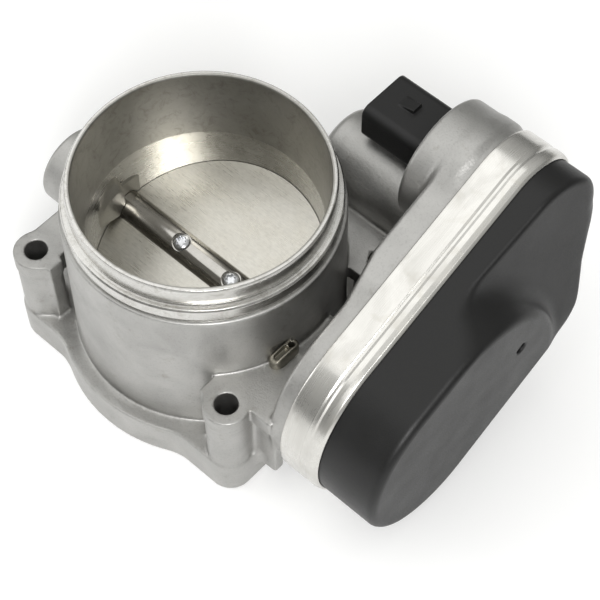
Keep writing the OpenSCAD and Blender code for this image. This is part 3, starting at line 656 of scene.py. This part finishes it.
def turned_metal():
    p = Paint("turned_aluminium")
    p.set(Metallic=1.0)
    # fine turning lines: they only change along the axis and the radius
    xyz = p.node("SeparateXYZ")
    p.link(p.at, xyz.inputs[0])
    radius = p.math("SQRT", p.math("ADD", p.math("MULTIPLY", xyz.outputs[0], xyz.outputs[0]),
                                   p.math("MULTIPLY", xyz.outputs[1], xyz.outputs[1])), 0)
    line = p.node("CombineXYZ")
    p.link(p.math("ADD", xyz.outputs[2], radius), line.inputs[2])
    lines = p.noise(6500, 2, 0.6, line.outputs[0])
    wide = p.noise(900, 2, 0.5, line.outputs[0])
    smear = p.noise(70, 4, 0.65, warp=0.8)
    smudge = p.ramp(p.noise(260, 6, 0.75, warp=1.0), [(0.32, (0.60, 0.585, 0.54)), (0.50, (1.0, 1.0, 1.0))])
    # the bore's colour is darker than the collar outside it as painted shade, darkest in the upper inlet
    # bore; the bore is also rougher than the collar, its lower part less so
    inside = p.math("LESS_THAN", radius, (INLET_R + 0.8) / 1000)
    lower = p.math("LESS_THAN", xyz.outputs[2], TAPER_Z / 1000)
    bright = p.ramp(smear, [(0.3, (0.56, 0.55, 0.525)), (0.7, (0.66, 0.655, 0.635))])
    dull_and_bore_shade = p.ramp(smear, [(0.3, (0.36, 0.352, 0.325)), (0.7, (0.46, 0.452, 0.425))])
    smooth = p.ramp(smear, [(0.3, (0.47, 0.46, 0.43)), (0.7, (0.55, 0.54, 0.51))])
    colour = p.mix(inside, bright, p.mix(lower, dull_and_bore_shade, smooth, "MIX"), "MIX")
    colour = p.mix(0.6, colour, smudge)
    p.to("Base Color", p.mix(0.6, colour, p.ramp(lines, [(0.2, 0.86), (0.6, 1.0)])))
    rough = p.math("ADD", p.spread(smear, 0.20, 0.28), p.spread(wide, -0.03, 0.05))
    rough = p.math("ADD", rough, p.math("MULTIPLY", inside, 0.16))
    p.to("Roughness", p.math("SUBTRACT", rough, p.math("MULTIPLY", lower, 0.13)))
    p.to("Normal", p.bump(lines, 0.14, 0.00003))
    return p.m


def plain_metal(name, colour, rough, grain=1800, bump=0.2, streak=None):
    p = Paint(name)
    p.set(Metallic=1.0)
    vector = p.stretch(streak) if streak else None
    fine = p.noise(grain, 3, 0.6, vector)
    smear = p.noise(120, 3, 0.6)
    dark = tuple(c * 0.82 for c in colour)
    base = p.ramp(smear, [(0.3, dark), (0.65, colour)])
    p.to("Base Color", p.mix(0.5, base, p.ramp(fine, [(0.25, 0.8), (0.6, 1.0)])))
    spread = p.spread(smear, rough * 0.85, rough * 1.15)
    p.to("Roughness", p.math("ADD", spread, p.spread(fine, -0.04, 0.05)))
    p.to("Normal", p.bump(fine, bump, 0.00004))
    return p.m


def plate_metal():
    p = Paint("brushed_plate")
    p.set(Metallic=1.0)
    along = p.stretch((0.05, 1, 1))
    fine = p.noise(2600, 3, 0.65, along)
    mottle = p.noise(1100, 3, 0.6, p.stretch((0.5, 1, 1)))
    cross = p.noise(900, 2, 0.5, p.stretch((1, 0.12, 1)))
    smear = p.noise(60, 4, 0.65)
    spot = p.ramp(p.noise(330, 4, 0.7), [(0.24, 0.84), (0.31, 1.0)])
    colour = p.ramp(smear, [(0.3, (0.53, 0.51, 0.455)), (0.7, (0.63, 0.615, 0.565))])
    colour = p.mix(0.6, colour, p.ramp(fine, [(0.25, 0.72), (0.6, 1.0)]))
    colour = p.mix(0.5, colour, p.ramp(mottle, [(0.32, 0.78), (0.6, 1.0)]))
    p.to("Base Color", p.mix(0.5, colour, spot))
    p.to("Roughness", p.math("ADD", p.spread(smear, 0.26, 0.34), p.spread(fine, -0.05, 0.08)))
    p.to("Normal", p.bump(fine, 0.32, 0.00005, p.bump(cross, 0.10, 0.00003)))
    return p.m


def sheet_metal():
    p = Paint("ring_sheet")
    p.set(Metallic=1.0)
    # rolling lines follow the band, so they only change along X
    xyz = p.node("SeparateXYZ")
    p.link(p.at, xyz.inputs[0])
    line = p.node("CombineXYZ")
    p.link(xyz.outputs[0], line.inputs[0])
    rolled = p.noise(3000, 2, 0.6, line.outputs[0])
    dull_and_bore_shade = p.noise(60, 3, 0.6, p.stretch((1.8, 0.8, 0.8)), 0.5)
    rub = p.noise(120, 3, 0.6, p.stretch((0.8, 1, 1)), 0.6)
    press = p.noise(150, 2, 0.5, p.stretch((0.15, 1, 1)))
    colour = p.ramp(dull_and_bore_shade, [(0.35, (0.60, 0.59, 0.56)), (0.6, (0.69, 0.68, 0.65))])
    colour = p.mix(0.6, colour, p.ramp(rub, [(0.30, (0.88, 0.865, 0.83)), (0.48, (1.0, 1.0, 1.0))]))
    p.to("Base Color", p.mix(0.5, colour, p.ramp(rolled, [(0.25, 0.82), (0.55, 1.0)])))
    rough = p.math("ADD", p.spread(dull_and_bore_shade, 0.30, 0.20, 0.36, 0.60), p.spread(rolled, -0.02, 0.04))
    p.to("Roughness", p.math("ADD", rough, p.spread(rub, 0.05, 0.0, 0.34, 0.50)))
    p.to("Normal", p.bump(rolled, 0.10, 0.00004, p.bump(press, 0.12, 0.0004)))
    return p.m


def plastic(name, colour, rough, grain=1500, bump=0.35, low=0.7, shine=0.5):
    p = Paint(name)
    p.set(Specular_IOR_Level=shine)
    fine = p.noise(grain, 2, 0.6)
    smear = p.noise(70, 4, 0.6)
    dark = tuple(c * low for c in colour)
    base = p.ramp(smear, [(0.3, dark), (0.7, colour)])
    p.to("Base Color", p.mix(0.5, base, p.ramp(fine, [(0.3, 0.7), (0.6, 1.0)])))
    spread = p.spread(smear, rough * 0.9, rough * 1.1)
    p.to("Roughness", p.math("ADD", spread, p.spread(fine, -0.05, 0.06)))
    p.to("Normal", p.bump(fine, bump, 0.00005))
    return p.m


def wound_copper():
    p = Paint("armature")
    p.set(Metallic=1.0)
    n = p.node("TexWave", wave_type="BANDS", bands_direction="X")
    p.link(p.at, n.inputs["Vector"])
    n.inputs["Scale"].default_value = 260
    n.inputs["Distortion"].default_value = 2.0
    p.to("Base Color", p.ramp(n.outputs["Fac"], [(0.2, (0.32, 0.14, 0.06)), (0.8, (0.72, 0.38, 0.20))]))
    p.to("Roughness", p.spread(p.noise(400), 0.25, 0.4))
    p.to("Normal", p.bump(n.outputs["Fac"], 0.5, 0.0002))
    return p.m


LOOKS = {
    "cast_aluminium": cast_metal(),
    "ground_steel": plain_metal("ground_steel", (0.50, 0.485, 0.455), 0.12, 3500, 0.10, (0.3, 1, 1)),
    "brushed_plate": plate_metal(),
    "zinc_steel": plain_metal("zinc_steel", (0.72, 0.73, 0.75), 0.24, 2200, 0.15),
    "bronze": plain_metal("bronze", (0.58, 0.42, 0.22), 0.4),
    "black_rubber": plastic("black_rubber", (0.022, 0.022, 0.022), 0.7),
    "seal_rubber": plastic("seal_rubber", (0.025, 0.022, 0.022), 0.65),
    "black_gear_plastic": plastic("black_gear_plastic", (0.045, 0.045, 0.048), 0.45),
    "natural_gear_plastic": plastic("natural_gear_plastic", (0.74, 0.70, 0.58), 0.42, 1200, 0.2, 0.9),
    "spring_steel": plain_metal("spring_steel", (0.40, 0.40, 0.42), 0.3),
    "magnet": plain_metal("magnet", (0.16, 0.16, 0.17), 0.5),
    "armature": wound_copper(),
    "brass": plain_metal("brass", (0.72, 0.55, 0.26), 0.25),
    "contact_metal": plain_metal("contact_metal", (0.80, 0.68, 0.38), 0.22),
    "black_plastic": plastic("black_plastic", (0.0075, 0.0075, 0.0075), 0.43, 2100, 0.7, 0.7, 0.38),
    "ring_sheet": sheet_metal(),
    "board": plastic("board", (0.05, 0.20, 0.09), 0.35),
    "vent_membrane": plastic("vent_membrane", (0.012, 0.012, 0.012), 0.8),
}
TURNED = turned_metal()
NOSE = cast_metal("bore_nose", (0.47, 0.455, 0.41), 0.25)
LUG = cast_metal("lug_metal", (0.36, 0.34, 0.285), 0.8)

for row in frame["record"]["subparts"]:
    mesh = NODES[row["node"]].data
    mesh.materials.clear()
    mesh.materials.append(LOOKS[row["material_slot"]])

place(casting(), "housing", "frame", LOOKS["cast_aluminium"])
place(collar(), "housing", "frame", TURNED)
place(lug(), "housing", "frame", LUG)
for piece in noses():
    place(piece, "housing", "frame", NOSE)
for piece in screws():
    place(piece, "plate_screws", "throttle", LOOKS["zinc_steel"])
place(clamp_ring(), "clamp_ring", "frame", LOOKS["ring_sheet"])
place(cover(), "cover", "frame", LOOKS["black_plastic"])
place(connector(), "connector_shell", "frame", LOOKS["black_plastic"])

# ---- camera, floor and light -------------------------------------------------------------------

AZ, EL, ROLL = (math.radians(v) for v in (42.87, 57.25, -0.57))
LOOK_AT, CAM_FAR, CAM_LENS = (0.04044, 0.0012, 0.0565), 0.5711, 107.92
FLOOR_HALF, FLOOR_Z = 4, -0.0004
SKY_LOW, SKY_HIGH, SKY_TOP, SKY_POWER = (0.16, 0.16, 0.155, 1), (0.70, 0.70, 0.68, 1), 0.9, 0.95
back = Vector((math.sin(AZ) * math.cos(EL), -math.cos(AZ) * math.cos(EL), math.sin(EL)))
right = Vector((math.cos(AZ), math.sin(AZ), 0))
up = Vector((-math.sin(AZ) * math.sin(EL), math.cos(AZ) * math.sin(EL), math.cos(EL)))
right, up = (math.cos(ROLL) * right + math.sin(ROLL) * up, math.cos(ROLL) * up - math.sin(ROLL) * right)
cam = bpy.data.objects.new("camera", bpy.data.cameras.new("camera"))
bpy.context.scene.collection.objects.link(cam)
cam.matrix_world = Matrix.Translation(Vector(LOOK_AT) + back * CAM_FAR) @ \
    Matrix((right, up, back)).transposed().to_4x4()
cam.data.lens, cam.data.sensor_width = CAM_LENS, 36
cam.data.clip_start, cam.data.clip_end = 0.01, 20
bpy.context.scene.camera = cam


def floor():
    p = Paint("floor_pale")
    p.to("Base Color", p.ramp(p.noise(6, 3), [(0.3, (0.86, 0.86, 0.86)), (0.7, (0.89, 0.89, 0.89))]))
    p.set(Roughness=0.8, Emission_Color=(1, 1, 1, 1), Emission_Strength=0.16)
    h = FLOOR_HALF
    corners = [(x, y, FLOOR_Z) for x, y in ((-h, -h), (h, -h), (h, h), (-h, h))]
    made = build("floor", corners, [], [(0, 1, 2, 3)], False)
    made.data.materials.append(p.m)


def light(name, at, target, size, power):
    data = bpy.data.lights.new(name, "AREA")
    data.shape, data.size, data.size_y = "RECTANGLE", size[0], size[1]
    data.energy = power
    o = bpy.data.objects.new(name, data)
    bpy.context.scene.collection.objects.link(o)
    o.location = at
    o.rotation_mode = "QUATERNION"
    o.rotation_quaternion = (Vector(target) - Vector(at)).to_track_quat("-Z", "Y")


floor()
light("key", (0.80, -0.72, 1.05), (0.02, 0, 0.04), (0.55, 0.55), 13)
light("overhead", (-0.50, 0.0, 1.25), (0, 0, 0.04), (1.5, 1.3), 5)
light("window", (-1.0, -0.8, 0.5), (0.03, 0, 0.04), (0.5, 0.9), 2.6)

world = bpy.data.worlds.new("studio")
bpy.context.scene.world = world
world.use_nodes = True
tree = world.node_tree
sky = tree.nodes["Background"]
split = tree.nodes.new("ShaderNodeSeparateXYZ")
tree.links.new(tree.nodes.new("ShaderNodeTexCoord").outputs["Generated"], split.inputs[0])
grade = tree.nodes.new("ShaderNodeValToRGB")
tree.links.new(split.outputs[2], grade.inputs["Fac"])
for stop, at, colour in zip(grade.color_ramp.elements, (0.0, SKY_TOP), (SKY_LOW, SKY_HIGH)):
    stop.position, stop.color = at, colour
tree.links.new(grade.outputs["Color"], sky.inputs["Color"])
sky.inputs["Strength"].default_value = SKY_POWER
bpy.context.scene.view_settings.view_transform = "Standard"
